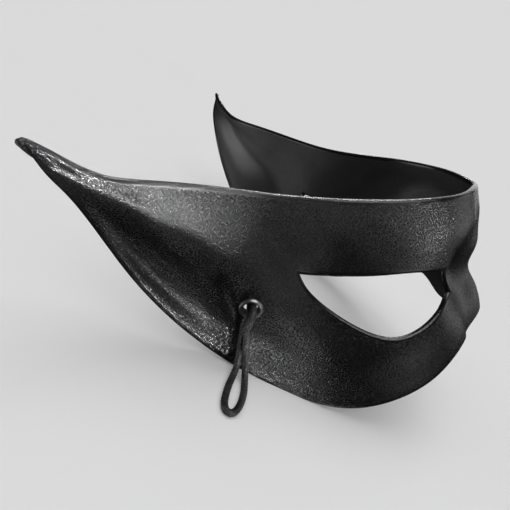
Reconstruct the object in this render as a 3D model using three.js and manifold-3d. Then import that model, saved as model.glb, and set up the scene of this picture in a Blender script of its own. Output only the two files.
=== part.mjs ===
// Leather elf mask: a moulded wrap-around half mask with two upswept horn tips, an eyelet in each side
// panel and a loop of waxed cord through each eyelet. It lies on the lower edges of its side panels.
// Millimetres. +X forward, +Y to the wearer's left, +Z up. The origin is on the ground, mid-footprint.
import * as THREE from 'three';
import { mergeVertices } from 'three/addons/utils/BufferGeometryUtils.js';
import Module from 'manifold-3d';

// Leather sheet
const THICKNESS = 2.8;
const TIP_THINNING = 0.4;                            // share of the thickness shaved off at the horn tips
const TIP_START = 0.88;                              // where the thinning starts, as a share of the way
const REST_PITCH = THREE.MathUtils.degToRad(27.3);   // how far the face is tipped up when it lies
const REST_SHIFT = [54.8, 0, 113.9];                 // places the resting mask on the ground, centred

// Stations along each side panel, from the nose ridge to the horn tip, in the wearer's frame.
// run: share of the way to the tip. top and low: forward, sideways and up, from the brow's middle.
const STATIONS = [
  { run: 0.000, top: [0, 0, 0], low: [17.2, 0, -70] },
  { run: 0.053, top: [-3, 11, 0.8], low: [8.6, 15.5, -75.3] },
  { run: 0.106, top: [-7.7, 21.3, 1.5], low: [3, 27.3, -75.2] },
  { run: 0.168, top: [-14.6, 32.6, 1.5], low: [-3.4, 42.7, -70] },
  { run: 0.256, top: [-28.8, 45.8, 1.5], low: [-18.9, 60.3, -78.6] },
  { run: 0.362, top: [-49.3, 55.3, 1.2], low: [-43.5, 71.2, -89.1] },
  { run: 0.486, top: [-73.9, 65.5, 2.1], low: [-69.3, 74, -91.2] },
  { run: 0.618, top: [-98.7, 79.7, 5.9], low: [-99, 78.5, -77.5] },
  { run: 0.742, top: [-122.3, 92.3, 10.3], low: [-126.5, 83.7, -56] },
  { run: 0.848, top: [-140.2, 105.3, 13.7], low: [-146.9, 98.7, -21.5] },
  { run: 0.936, top: [-152.3, 120.1, 19.8], low: [-158.5, 113.6, 8.9] },
  { run: 0.972, top: [-156.8, 125.1, 24.7], low: [-160.1, 122, 17.9] },
  { run: 1.000, top: [-159.8, 131.2, 28.9], low: [-160.6, 130.3, 26.9] },
];

// Eye opening: lid heights as shares of the panel's height, top edge 0 and lower edge 1
const EYE_INNER = 0.120;
const EYE_OUTER = 0.549;
const CORNER_FALL = 0.16;     // how far the line on from the outer corner sinks by the horn tip
const UPPER_LID = [
  [0.120, 0.555], [0.170, 0.505], [0.215, 0.442], [0.262, 0.380], [0.308, 0.346],
  [0.375, 0.334], [0.443, 0.340], [0.495, 0.350], [0.530, 0.355], [0.549, 0.354],
];
const LOWER_LID = [
  [0.120, 0.722], [0.160, 0.695], [0.200, 0.656], [0.245, 0.638], [0.288, 0.652], [0.342, 0.658],
  [0.388, 0.629], [0.436, 0.580], [0.479, 0.528], [0.515, 0.470], [0.534, 0.420], [0.549, 0.354],
];

// Moulded relief, outward in millimetres, with its place and spread along (run) and down (height share)
const EYE_SOCKET = { depth: -11.5, run: 0.145, spread: 0.078, height: 0.58, reach: 0.21 };
const NOSE_DIP = { depth: -5.2, run: 0, spread: 0.09, height: 0.66, reach: 0.15 };
const BROW = { depth: 2, run: 0.2, spread: 0.16, height: 0.2, reach: 0.13 };
const TEMPLE = { depth: -5, run: 0.52, spread: 0.1, height: 0.35, reach: 0.22 };
const CHEEK = { depth: 3, run: 0.36, spread: 0.16, height: 0.73, reach: 0.14 };
const EDGE_ROLL = { depth: 2.2, length: 7, reach: 0.28, grows: [0.1, 0.25], fades: [0.48, 0.62] };
const EDGE_FLARE = { depth: -3.6, height: 0.8, reach: 0.12, grows: [0.44, 0.58], fades: [0.74, 0.9] };
const HORN = { grows: [0.52, 0.74], fades: [0.84, 0.97] };
const HORN_RIDGE = { depth: 4.1, reach: 0.2, height: 0.4, rise: 0.1, rises: [0.6, 0.8], fall: 0.35,
  falls: [0.88, 1], leftAtTip: 0.32 };
const HORN_HOLLOW = { depth: -3, height: 0.62, reach: 0.18, fades: [0.84, 0.94] };

// Eyelets: place on the panel, and radii of the bore, the barrel through the leather and the flanges
const EYELET = { run: 0.639, height: 0.605, bore: 3.15, barrel: 3.65, flange: 5.1, crown: 1.1, segments: 24 };
const FIT_GAP = 0.3;
const SEAT_GAP = 0.55;

// Cord: the right loop's centre line as it lies, from its end inside the panel and back to it
const CORD_DIAMETER = 2.8;
const CORD_STEPS = 39;
const KNOT = { centre: [-19.2, -69.7, 28.7], radii: [3.9, 4.1, 4.6] };
const CORD_ROUTE = [
  [-21.3, -65.6, 25.3], [-19.8, -69.7, 29.3], [-18.6, -73.6, 30.0], [-18.3, -75.8, 30.0],
  [-17.8, -79.0, 29.9], [-17.5, -80.7, 29.9], [-17.1, -82.9, 29.5], [-16.6, -85.0, 27.7],
  [-16.3, -85.9, 24.9], [-15.9, -85.4, 21.7], [-14.1, -84.7, 19.3], [-11.2, -84.2, 13.5],
  [-8.1, -82.9, 7.5], [-5.9, -85.0, 3.6], [-4.5, -88.7, 1.8], [-3.9, -93.7, 1.5],
  [-4.3, -100.7, 1.5], [-5.7, -105.7, 1.5], [-7.5, -107.8, 1.5], [-9.5, -107.4, 1.5],
  [-10.7, -104.3, 1.5], [-11.0, -99.6, 1.5], [-10.8, -93.4, 1.5], [-10.3, -87.9, 1.9],
  [-10.4, -83.0, 4.3], [-12.4, -82.7, 9.8], [-14.7, -82.3, 15.5], [-16.4, -81.8, 19.6],
  [-17.2, -82.0, 21.5], [-17.2, -82.7, 24.2], [-17.3, -82.1, 26.1], [-17.6, -80.5, 26.9],
  [-17.9, -78.5, 27.0], [-18.3, -75.7, 27.1], [-18.6, -73.5, 27.2], [-18.6, -69.7, 28.1],
  [-17.6, -65.2, 24.2],
];

// A natural cubic spline through [x, y] pairs
function naturalSpline(points) {
  const n = points.length;
  const step = (i) => points[i + 1][0] - points[i][0];
  const slope = (i) => (points[i + 1][1] - points[i][1]) / step(i);
  const bend = new Array(n).fill(0);
  const upper = new Array(n).fill(0);
  for (let i = 1; i < n - 1; i++) {
    const pivot = 2 * (step(i - 1) + step(i)) - step(i - 1) * upper[i - 1];
    upper[i] = step(i) / pivot;
    bend[i] = (6 * (slope(i) - slope(i - 1)) - step(i - 1) * bend[i - 1]) / pivot;
  }
  for (let i = n - 2; i > 0; i--) bend[i] -= upper[i] * bend[i + 1];
  return (x) => {
    let i = 0;
    while (i < n - 2 && x > points[i + 1][0]) i++;
    const h = step(i);
    const a = (points[i + 1][0] - x) / h;
    const b = 1 - a;
    return a * points[i][1] + b * points[i + 1][1]
      + ((a ** 3 - a) * bend[i] + (b ** 3 - b) * bend[i + 1]) * h * h / 6;
  };
}

// The same spline carried over the nose to the other side: sideways changes sign there, the rest doesn't
function mirroredSpline(edge, axis) {
  const sign = axis === 1 ? -1 : 1;
  const left = STATIONS.map((s) => [s.run, s[edge][axis]]);
  const right = left.slice(1).reverse().map(([run, value]) => [-run, sign * value]);
  return naturalSpline([...right, ...left]);
}
const topEdge = [0, 1, 2].map((axis) => mirroredSpline('top', axis));
const lowEdge = [0, 1, 2].map((axis) => mirroredSpline('low', axis));
const upperLid = naturalSpline(UPPER_LID);
const lowerLid = naturalSpline(LOWER_LID);

const bell = (x, centre, spread) => Math.exp(-(((x - centre) / spread) ** 2));
const patch = (r, run, height) => r.depth * bell(run, r.run, r.spread) * bell(height, r.height, r.reach);
const rampUp = (x, [from, to]) => THREE.MathUtils.smoothstep(x, from, to);

const edgePoint = (edge, u) => new THREE.Vector3(...edge.map((f) => f(u)));
const panelHeight = (u) => edgePoint(topEdge, u).distanceTo(edgePoint(lowEdge, u));

// How far the moulding stands out from the straight line between the two edges
function relief(u, v) {
  const run = Math.abs(u);
  const horn = rampUp(run, HORN.grows);
  const fade = 1 - rampUp(run, HORN.fades);
  let out = [EYE_SOCKET, NOSE_DIP, BROW, TEMPLE, CHEEK].reduce((sum, r) => sum + patch(r, run, v), 0);

  const fromEdge = (1 - v) * panelHeight(u);
  out += EDGE_ROLL.depth * (1 - Math.exp(-fromEdge / EDGE_ROLL.length)) * bell(v, 1, EDGE_ROLL.reach)
    * rampUp(run, EDGE_ROLL.grows) * (1 - rampUp(run, EDGE_ROLL.fades));
  out += EDGE_FLARE.depth * bell(v, EDGE_FLARE.height, EDGE_FLARE.reach)
    * rampUp(run, EDGE_FLARE.grows) * (1 - rampUp(run, EDGE_FLARE.fades));

  const { height, rise, rises, fall, falls, leftAtTip } = HORN_RIDGE;
  const ridgeHeight = height - rise * rampUp(run, rises) + fall * rampUp(run, falls);
  out += HORN_RIDGE.depth * horn * bell(v, ridgeHeight, HORN_RIDGE.reach)
    * (leftAtTip + (1 - leftAtTip) * fade);
  out += HORN_HOLLOW.depth * horn * fade * bell(v, HORN_HOLLOW.height, HORN_HOLLOW.reach)
    * (1 - rampUp(run, HORN_HOLLOW.fades));
  return out;
}

// A point on the outer face, in the wearer's frame
function facePoint(u, v) {
  const d = 1e-3;
  const df = topEdge[0](u + d) - topEdge[0](u - d);
  const dl = topEdge[1](u + d) - topEdge[1](u - d);
  const outward = new THREE.Vector3(dl, -df, 0).normalize();
  return edgePoint(topEdge, u).lerp(edgePoint(lowEdge, u), v).addScaledVector(outward, relief(u, v));
}

function faceNormal(u, v) {
  const d = 1e-3;
  const along = facePoint(u + d, v).sub(facePoint(u - d, v));
  const down = facePoint(u, v + d).sub(facePoint(u, v - d));
  return down.cross(along).normalize();
}

// A point in the middle of the leather's thickness
const halfThickness = (u) => (1 - TIP_THINNING * rampUp(Math.abs(u), [TIP_START, 1])) * THICKNESS / 2;
const middlePoint = (u, v) => facePoint(u, v).addScaledVector(faceNormal(u, v), -halfThickness(u));

// The sheet stops short of the panel's outline by the edge's rounding
const topLimit = (u) => halfThickness(u) / panelHeight(u);
const lowLimit = (u) => 1 - topLimit(u);

// Where the sheet of a horn is hardly taller than its own rounded edges
const SHEET_LEFT = 0.5;
function hornEnd() {
  let near = TIP_START;
  let far = 1;
  for (let i = 0; i < 30; i++) {
    const mid = (near + far) / 2;
    if (panelHeight(mid) > 2 * halfThickness(mid) + SHEET_LEFT) near = mid; else far = mid;
  }
  return near;
}

// Column places along one side, fine over the nose and cheek, with columns on both corners of the eye
function columnPlaces() {
  const spans = [[0, EYE_INNER, 8], [EYE_INNER, 0.3, 10], [0.3, EYE_OUTER, 11], [EYE_OUTER, 0.86, 10],
    [0.86, hornEnd(), 8]];
  const side = [0];
  for (const [from, to, count] of spans) {
    for (let i = 1; i <= count; i++) side.push(from + (to - from) * i / count);
  }
  return [...side.slice(1).reverse().map((u) => -u), ...side];
}

// The leather as one closed body: an outer and an inner skin joined by rounded edges
function leatherGeometry() {
  const rows = { upper: 5, bridge: 3, lower: 7 };
  const columns = columnPlaces();
  const spots = [];
  const quads = [];
  const key = new Map();
  const spot = (u, v) => {
    const name = `${u.toFixed(6)} ${v.toFixed(6)}`;
    if (!key.has(name)) {
      key.set(name, spots.length);
      spots.push([u, v]);
    }
    return key.get(name);
  };
  const lids = (u) => {
    const run = Math.abs(u);
    if (run <= EYE_INNER) return [upperLid(EYE_INNER), lowerLid(EYE_INNER)];
    if (run < EYE_OUTER - 1e-9) return [upperLid(run), lowerLid(run)];
    const corner = upperLid(EYE_OUTER) + CORNER_FALL * rampUp(run, [EYE_OUTER, 1]);
    return [corner, corner];
  };
  const band = (u0, u1, from, to, count) => {
    for (let i = 0; i < count; i++) {
      const at = (u, k) => spot(u, THREE.MathUtils.lerp(from(u), to(u), k / count));
      quads.push([at(u0, i), at(u1, i), at(u1, i + 1), at(u0, i + 1)]);
    }
  };
  for (let c = 0; c + 1 < columns.length; c++) {
    const [u0, u1] = [columns[c], columns[c + 1]];
    band(u0, u1, topLimit, (u) => lids(u)[0], rows.upper);
    band(u0, u1, (u) => lids(u)[1], lowLimit, rows.lower);
    if (Math.abs(u0 + u1) / 2 < EYE_INNER) band(u0, u1, (u) => lids(u)[0], (u) => lids(u)[1], rows.bridge);
  }

  const middle = spots.map(([u, v]) => middlePoint(u, v));
  const radii = spots.map(([u]) => halfThickness(u));
  const normals = spots.map(([u, v]) => faceNormal(u, v));
  const positions = [];
  const add = (p) => positions.push(p.x, p.y, p.z) / 3 - 1;
  const outer = middle.map((p, i) => add(p.clone().addScaledVector(normals[i], radii[i])));
  const inner = middle.map((p, i) => add(p.clone().addScaledVector(normals[i], -radii[i])));
  const index = [];
  const square = (a, b, c, d) => index.push(a, b, c, a, c, d);
  const edges = new Map();
  for (const [a, b, c, d] of quads) {
    square(outer[a], outer[d], outer[c], outer[b]);
    square(inner[a], inner[b], inner[c], inner[d]);
    for (const [p, q] of [[a, b], [b, c], [c, d], [d, a]]) {
      if (edges.has(`${q} ${p}`)) edges.delete(`${q} ${p}`);
      else edges.set(`${p} ${q}`, [p, q]);
    }
  }

  // Rounded edges: each free edge point gets two points on a half circle between the skins
  const next = new Map([...edges.values()]);
  const previous = new Map([...edges.values()].map(([p, q]) => [q, p]));
  const turns = [Math.PI / 5, -Math.PI / 5];
  const rim = new Map();
  for (const p of next.keys()) {
    const along = middle[next.get(p)].clone().sub(middle[previous.get(p)]);
    const off = along.clone().cross(normals[p]).normalize().negate();
    rim.set(p, turns.map((turn) => add(middle[p].clone()
      .addScaledVector(off, radii[p] * Math.cos(turn))
      .addScaledVector(normals[p], radii[p] * Math.sin(turn)))));
  }
  for (const [p, q] of next) {
    const from = [outer[p], ...rim.get(p), inner[p]];
    const to = [outer[q], ...rim.get(q), inner[q]];
    for (let i = 0; i + 1 < from.length; i++) square(from[i], to[i], to[i + 1], from[i + 1]);
  }
  const geometry = new THREE.BufferGeometry();
  geometry.setAttribute('position', new THREE.Float32BufferAttribute(positions, 3));
  geometry.setIndex(index);
  return geometry;
}

// From the wearer's frame to the way the mask lies
const toRest = new THREE.Matrix4().makeTranslation(...REST_SHIFT)
  .multiply(new THREE.Matrix4().makeRotationY(-REST_PITCH));

// The lowest stretch of each lower edge is pressed flat, so the mask rests without rocking
function pressFlats(geometry) {
  const position = geometry.attributes.position;
  for (let i = 0; i < position.count; i++) position.setZ(i, Math.max(position.getZ(i), 0));
  return geometry;
}

const wasm = await Module();
wasm.setup();
function toSolid(geometry) {
  const plain = geometry.clone();
  plain.deleteAttribute('normal');
  plain.deleteAttribute('uv');
  const merged = mergeVertices(plain, 1e-4);
  return new wasm.Manifold(new wasm.Mesh({
    numProp: 3,
    vertProperties: new Float32Array(merged.attributes.position.array),
    triVerts: new Uint32Array(merged.index.array),
  }));
}

function fromSolid(solid) {
  const mesh = solid.getMesh();
  const geometry = new THREE.BufferGeometry();
  geometry.setAttribute('position', new THREE.BufferAttribute(mesh.vertProperties, 3));
  geometry.setIndex(new THREE.BufferAttribute(mesh.triVerts, 1));
  return geometry;
}

// An eyelet's own frame: its middle in the leather and its axis square to the leather
function eyeletFrame(side) {
  const u = side * EYELET.run;
  const axis = faceNormal(u, EYELET.height);
  const up = new THREE.Vector3(0, 0, 1).addScaledVector(axis, -axis.z).normalize();
  const across = new THREE.Vector3().crossVectors(axis, up);
  const frame = new THREE.Matrix4().makeBasis(across, axis, up);
  return frame.setPosition(middlePoint(u, EYELET.height)).premultiply(toRest);
}

// Set eyelet: a barrel with a domed flange outside and a rolled flange inside
function eyeletGeometry() {
  const { bore, barrel, flange, crown } = EYELET;
  const seat = THICKNESS / 2 + SEAT_GAP;
  const face = seat + crown;
  const back = -seat - 0.8 * crown;
  const profile = [
    [bore, back + 0.3], [bore + 0.5, back], [flange - 0.8, back], [flange - 0.2, -seat - 0.35],
    [flange - 0.3, -seat], [barrel, -seat], [barrel, seat], [flange - 0.1, seat], [flange, seat + 0.35],
    [flange - 0.6, face - 0.15], [bore + 0.9, face], [bore + 0.2, face - 0.3], [bore, face - 0.8],
    [bore, back + 0.3],
  ];
  return new THREE.LatheGeometry(profile.map(([r, y]) => new THREE.Vector2(r, y)), EYELET.segments);
}

// The leather with both eyelet holes cut through it
let leather = toSolid(pressFlats(leatherGeometry().applyMatrix4(toRest)));
for (const side of [-1, 1]) {
  const drill = new THREE.CylinderGeometry(EYELET.barrel + FIT_GAP, EYELET.barrel + FIT_GAP, 12, 24);
  leather = leather.subtract(toSolid(drill.applyMatrix4(eyeletFrame(side))));
}

// A loop of cord: one length doubled through the eyelet, its two ends tied in a knot inside
function cordSolid(side) {
  const mirrored = ([x, y, z]) => new THREE.Vector3(x, -side * y, z);
  const route = new THREE.CatmullRomCurve3(CORD_ROUTE.map(mirrored), false, 'centripetal');
  const section = new THREE.Shape();
  section.absarc(0, 0, CORD_DIAMETER / 2, 0, 2 * Math.PI);
  const tube = new THREE.ExtrudeGeometry(section, {
    steps: CORD_STEPS, curveSegments: 4, bevelEnabled: false, extrudePath: route,
  });
  const knot = new THREE.SphereGeometry(1, 10, 7).scale(...KNOT.radii);
  knot.translate(...mirrored(KNOT.centre).toArray());
  return toSolid(tube).add(toSolid(knot));
}

const LEATHER = new THREE.MeshStandardMaterial({ name: 'black_leather', color: '#1b1b1d', roughness: 0.45 });
const NICKEL = new THREE.MeshStandardMaterial({
  name: 'dark_nickel', color: '#4a4745', metalness: 1, roughness: 0.3,
});
const CORD = new THREE.MeshStandardMaterial({ name: 'waxed_cord', color: '#151516', roughness: 0.6 });

const mask = new THREE.Group();
mask.name = 'elf_mask';
function place(name, geometry, material) {
  geometry.computeVertexNormals();
  const mesh = new THREE.Mesh(geometry, material);
  mesh.name = name;
  mask.add(mesh);
}

place('mask_shell', fromSolid(leather), LEATHER);
for (const [side, name] of [[-1, 'right'], [1, 'left']]) {
  place(`eyelet_${name}`, eyeletGeometry().applyMatrix4(eyeletFrame(side)), NICKEL);
  place(`cord_${name}`, fromSolid(cordSolid(side)), CORD);
}

export default mask;
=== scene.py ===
# Leather elf mask, dressed: a moulded wrap-around half mask of black pebbled leather with two upswept
# horn tips, a nickel eyelet in each side panel and a loop of braided waxed cord through each eyelet.
# Shapes are worked out in millimetres, in the CAD frame, and put into the meshes in metres.
import logging
import math
from dataclasses import dataclass
from enum import Enum

import bpy
import numpy as np
from mathutils import Matrix, Vector


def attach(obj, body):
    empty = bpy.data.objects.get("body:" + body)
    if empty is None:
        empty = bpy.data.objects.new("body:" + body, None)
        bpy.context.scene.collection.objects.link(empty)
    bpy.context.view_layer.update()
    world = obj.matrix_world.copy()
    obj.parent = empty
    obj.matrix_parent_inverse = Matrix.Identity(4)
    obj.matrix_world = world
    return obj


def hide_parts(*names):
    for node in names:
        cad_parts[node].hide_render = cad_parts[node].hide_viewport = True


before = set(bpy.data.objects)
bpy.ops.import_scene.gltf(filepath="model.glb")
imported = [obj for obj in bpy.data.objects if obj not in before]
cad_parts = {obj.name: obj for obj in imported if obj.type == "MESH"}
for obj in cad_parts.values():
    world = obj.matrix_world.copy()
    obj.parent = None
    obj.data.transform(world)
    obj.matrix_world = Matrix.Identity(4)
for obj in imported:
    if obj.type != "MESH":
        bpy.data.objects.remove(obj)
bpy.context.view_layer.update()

Array = np.ndarray
Socket = bpy.types.NodeSocket
Object = bpy.types.Object
Material = bpy.types.Material
Collection = bpy.types.Collection
Colour = tuple[float, float, float, float]
Place = tuple[float, float, float]
WHITE = (1.0, 1.0, 1.0, 1.0)
MM = 0.001
LOG = logging.getLogger("elf_mask")


class Side(Enum):
    """The wearer's two sides, by the sign of the sideways axis."""

    RIGHT = -1
    LEFT = 1

    @property
    def word(self) -> str:
        """The side's word in the names of the CAD nodes."""
        return self.name.lower()


def ramp(x: Array | float, start: float, end: float) -> Array:
    """A soft step: 0 before start, 1 after end, 3t^2 - 2t^3 between them."""
    t = np.clip((np.asarray(x, float) - start) / (end - start), 0.0, 1.0)
    return t * t * (3.0 - 2.0 * t)


def bell(x: Array | float, centre: float, spread: float) -> Array:
    """A bell: e to the minus squared distance from the centre, measured in spreads."""
    return np.exp(-(((np.asarray(x, float) - centre) / spread) ** 2))


def unit(v: Array) -> Array:
    """Each vector divided by its own length."""
    return v / np.linalg.norm(v, axis=-1, keepdims=True)


def dots(a: Array, b: Array) -> Array:
    """The dot product of each row of one with the same row of the other."""
    return np.einsum("ij,ij->i", a, b)


def travelled(path: Array) -> Array:
    """How far along a path each of its points is."""
    return np.concatenate([[0.0], np.cumsum(np.linalg.norm(np.diff(path, axis=0), axis=1))])


def evenly(path: Array, count: int) -> Array:
    """The same path with that many points, evenly spaced."""
    far = travelled(path)
    return np.stack([np.interp(np.linspace(0.0, far[-1], count), far, path[:, k]) for k in range(3)], 1)


def on_ground(points: Array) -> Array:
    """Presses what would pass through the ground flat onto it."""
    return np.column_stack([points[:, :2], np.maximum(points[:, 2], 0.0)])


def ring_faces(rings: int, sides: int, closed_rings: bool = False) -> Array:
    """Joins rings of points with quads, each ring closed on itself.

    Args:
        rings: How many rings there are.
        sides: How many points each ring has.
        closed_rings: Whether the last ring also joins the first.

    Returns:
        Rows of four point numbers.
    """
    joins = rings if closed_rings else rings - 1
    ring, side = (grid.ravel() for grid in np.meshgrid(np.arange(joins), np.arange(sides), indexing="ij"))
    after, beside = (ring + 1) % rings, (side + 1) % sides
    corners = ((ring, side), (ring, beside), (after, beside), (after, side))
    return np.stack([at * sides + place for at, place in corners], 1)


def signed_volume(points: Array, quads: Array) -> float:
    """The volume inside closed quads, negative where they face inwards: a sum of box products."""
    a, b, c, d = (points[quads[:, k]] for k in range(4))
    return float((dots(a, np.cross(b, c)) + dots(a, np.cross(c, d))).sum() / 6.0)


def stand(name: str, data: bpy.types.ID) -> Object:
    """A new object in the scene, made of that data."""
    thing = bpy.data.objects.new(name, data)
    bpy.context.scene.collection.objects.link(thing)
    return thing


def make_piece(name: str, points: Array, quads: Array, material: Material,
               values: dict[str, Array]) -> Object:
    """Makes a smooth piece, its faces turned outwards, riding on the one body.

    Args:
        name: The object's name.
        points: One row of x, y and z for each point, in millimetres.
        quads: Rows of four point numbers. A row that repeats a number is a triangle.
        material: The finish of the whole piece.
        values: One number for each point under each name, for the finish to read.

    Returns:
        The new object, at the origin.
    """
    if signed_volume(points, quads) < 0:
        quads = quads[:, ::-1]
    mesh = bpy.data.meshes.new(name)
    mesh.from_pydata(points * MM, [], quads, shade_flat=False)
    mesh.validate()
    for key, numbers in values.items():
        layer = mesh.attributes.new(key, "FLOAT", "POINT")
        layer.data.foreach_set("value", np.asarray(numbers, np.float32))
    mesh.materials.append(material)
    piece = stand(name, mesh)
    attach(piece, "root")
    return piece


class NodeBench:
    """Adds nodes to one node tree and joins them."""

    def __init__(self, tree: bpy.types.NodeTree) -> None:
        """Works on that tree."""
        self.tree = tree

    def feed(self, entry: Socket, value: object) -> None:
        """Joins an input to the socket that feeds it, or sets the value that it holds."""
        if isinstance(value, Socket):
            self.tree.links.new(value, entry)
        else:
            entry.default_value = value

    def add(self, kind: str, feeds: dict | None = None, **settings: object) -> bpy.types.Node:
        """Adds a node.

        Args:
            kind: The node's type name, after the ShaderNode that it starts with.
            feeds: For each input, the socket that feeds it or the value that it holds.
            **settings: The node's own settings.

        Returns:
            The new node.
        """
        node = self.tree.nodes.new(f"ShaderNode{kind}")
        for key, value in settings.items():
            setattr(node, key, value)
        for key, value in (feeds or {}).items():
            self.feed(node.inputs[key], value)
        return node

    def math(self, operation: str, *terms: object, clamp: bool = False) -> Socket:
        """The result of a Math node over one, two or three terms."""
        return self.add("Math", dict(enumerate(terms)), operation=operation, use_clamp=clamp).outputs[0]

    def vector(self, operation: str, first: object, second: object) -> Socket:
        """The vector that a Vector Math node makes of two terms."""
        key = "Scale" if operation == "SCALE" else 1
        return self.add("VectorMath", {0: first, key: second}, operation=operation).outputs[0]

    def remap(self, value: Socket, low: float, high: float, start: float = 0.0, end: float = 1.0) -> Socket:
        """Carries a value softly from the range low to high over to the range start to end."""
        feeds = {"Value": value, "From Min": low, "From Max": high, "To Min": start, "To Max": end}
        return self.add("MapRange", feeds, interpolation_type="SMOOTHSTEP").outputs[0]

    def blend(self, share: object, first: object, second: object) -> Socket:
        """Mixes two values: the first where the share is 0, the second where it is 1."""
        return self.add("Mix", {0: share, 2: first, 3: second}, data_type="FLOAT").outputs[0]

    def tint(self, share: object, first: object, second: object) -> Socket:
        """Mixes two colours: the first where the share is 0, the second where it is 1."""
        return self.add("Mix", {0: share, 6: first, 7: second}, data_type="RGBA").outputs[2]

    def noise(self, place: Socket, scale: object, detail: float = 2.0, roughness: float = 0.5) -> Socket:
        """The grey value of a Noise texture at that many cells a metre."""
        feeds = {"Vector": place, "Scale": scale, "Detail": detail, "Roughness": roughness}
        return self.add("TexNoise", feeds).outputs[0]


class EffectBench(NodeBench):
    """A new shader node group with named sockets, and a bench for what is in it."""

    def __init__(self, name: str, inputs: dict[str, str], outputs: list[str]) -> None:
        """Makes the group.

        Args:
            name: The group's name.
            inputs: Each input's name with its kind, Float or Vector.
            outputs: The names of the outputs, all of them numbers.
        """
        super().__init__(bpy.data.node_groups.new(name, "ShaderNodeTree"))
        for key, kind in inputs.items():
            self.tree.interface.new_socket(key, in_out="INPUT", socket_type=f"NodeSocket{kind}")
        for key in outputs:
            self.tree.interface.new_socket(key, in_out="OUTPUT", socket_type="NodeSocketFloat")
        self.source = self.tree.nodes.new("NodeGroupInput").outputs
        self.sink = self.tree.nodes.new("NodeGroupOutput").inputs


class SharedEffects:
    """The surface effects that the finishes use, each built once as a node group."""

    def __init__(self) -> None:
        """Builds the groups."""
        self.grain = self._grain()
        self.unevenness = self._unevenness()
        self.rubbed_edge = self._rubbed_edge()

    @staticmethod
    def _grain() -> bpy.types.NodeTree:
        """Pebbled grain: rounded cells with creases between them, their size and depth a little uneven.

        Returns:
            The group, with Height in cell depths and Crease, which is 1 in the bottom of a crease.
        """
        inputs = {"Place": "Vector", "Cells": "Float", "Wander": "Float"}
        bench = EffectBench("pebble_grain", inputs, ["Height", "Crease"])
        place, cells = bench.source["Place"], bench.source["Cells"]
        slow = bench.add("TexNoise", {"Vector": place, "Scale": 420.0, "Detail": 2.0}).outputs[1]
        shift = bench.vector("SUBTRACT", slow, (0.5, 0.5, 0.5))
        bent = bench.vector("ADD", place, bench.vector("SCALE", shift, bench.source["Wander"]))
        long = bench.vector("MULTIPLY", bent, (1.0, 1.0, 1.3))
        feeds = {"Vector": long, "Scale": cells, "Smoothness": 0.5, "Randomness": 1.0}
        away = bench.add("TexVoronoi", feeds, feature="SMOOTH_F1").outputs[0]
        dome = bench.math("SUBTRACT", 0.8, away)
        wrinkle = bench.noise(long, bench.math("MULTIPLY", cells, 1.2), 3.0, 0.55)
        bench.feed(bench.sink["Height"], bench.math("MULTIPLY_ADD", wrinkle, 1.3, dome))
        bench.feed(bench.sink["Crease"], bench.remap(away, 0.45, 0.75))
        return bench.tree

    @staticmethod
    def _unevenness() -> bpy.types.NodeTree:
        """Slow handling marks: a broad cloudiness with a finer one over it.

        Returns:
            The group, with Amount from 0 to 1, about a half on average.
        """
        bench = EffectBench("unevenness", {"Place": "Vector", "Size": "Float"}, ["Amount"])
        place, size = bench.source["Place"], bench.source["Size"]
        broad = bench.noise(place, size, 3.0, 0.55)
        finer = bench.noise(place, bench.math("MULTIPLY", size, 6.0))
        bench.feed(bench.sink["Amount"], bench.remap(bench.blend(0.35, broad, finer), 0.3, 0.7))
        return bench.tree

    @staticmethod
    def _rubbed_edge() -> bpy.types.NodeTree:
        """The rubbed margin along an edge, its border broken up by noise.

        Returns:
            The group, with Rubbed, which is 1 on the edge itself and 0 beyond the margin's width.
        """
        inputs = {"Place": "Vector", "Distance": "Float", "Width": "Float"}
        bench = EffectBench("rubbed_edge", inputs, ["Rubbed"])
        broken = bench.math("ADD", bench.noise(bench.source["Place"], 900.0, 3.0, 0.6), 0.5)
        reach = bench.math("MULTIPLY", bench.source["Width"], broken)
        share = bench.math("DIVIDE", bench.source["Distance"], reach, clamp=True)
        bench.feed(bench.sink["Rubbed"], bench.math("SUBTRACT", 1.0, share))
        return bench.tree


class FinishBench(NodeBench):
    """A new material, and a bench for its nodes."""

    def __init__(self, name: str) -> None:
        """Starts the material, with its Principled shader and the Object coordinates."""
        self.material = bpy.data.materials.new(name)
        self.material.use_nodes = True
        super().__init__(self.material.node_tree)
        self.shader = self.tree.nodes["Principled BSDF"]
        self.place = self.add("TexCoord").outputs["Object"]

    def value(self, name: str) -> Socket:
        """The number that the piece's points hold under that name."""
        return self.add("Attribute", attribute_name=name).outputs["Fac"]

    def effect(self, group: bpy.types.NodeTree, **feeds: object) -> bpy.types.Node:
        """A node that runs a shared effect on the Object coordinates."""
        return self.add("Group", {"Place": self.place, **feeds}, node_tree=group)

    def finish(self, colour: Socket, dull: Socket, relief: Socket, depth: float, strength: float) -> Material:
        """Feeds the shader.

        Args:
            colour: The base colour.
            dull: The roughness.
            relief: The fine relief's height.
            depth: How deep a relief of 1 is, in metres.
            strength: The share of the relief that shows.

        Returns:
            The material.
        """
        bump = self.add("Bump", {"Strength": strength, "Distance": depth, "Height": relief}).outputs[0]
        for key, value in (("Base Color", colour), ("Roughness", dull), ("Normal", bump)):
            self.feed(self.shader.inputs[key], value)
        return self.material


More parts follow.
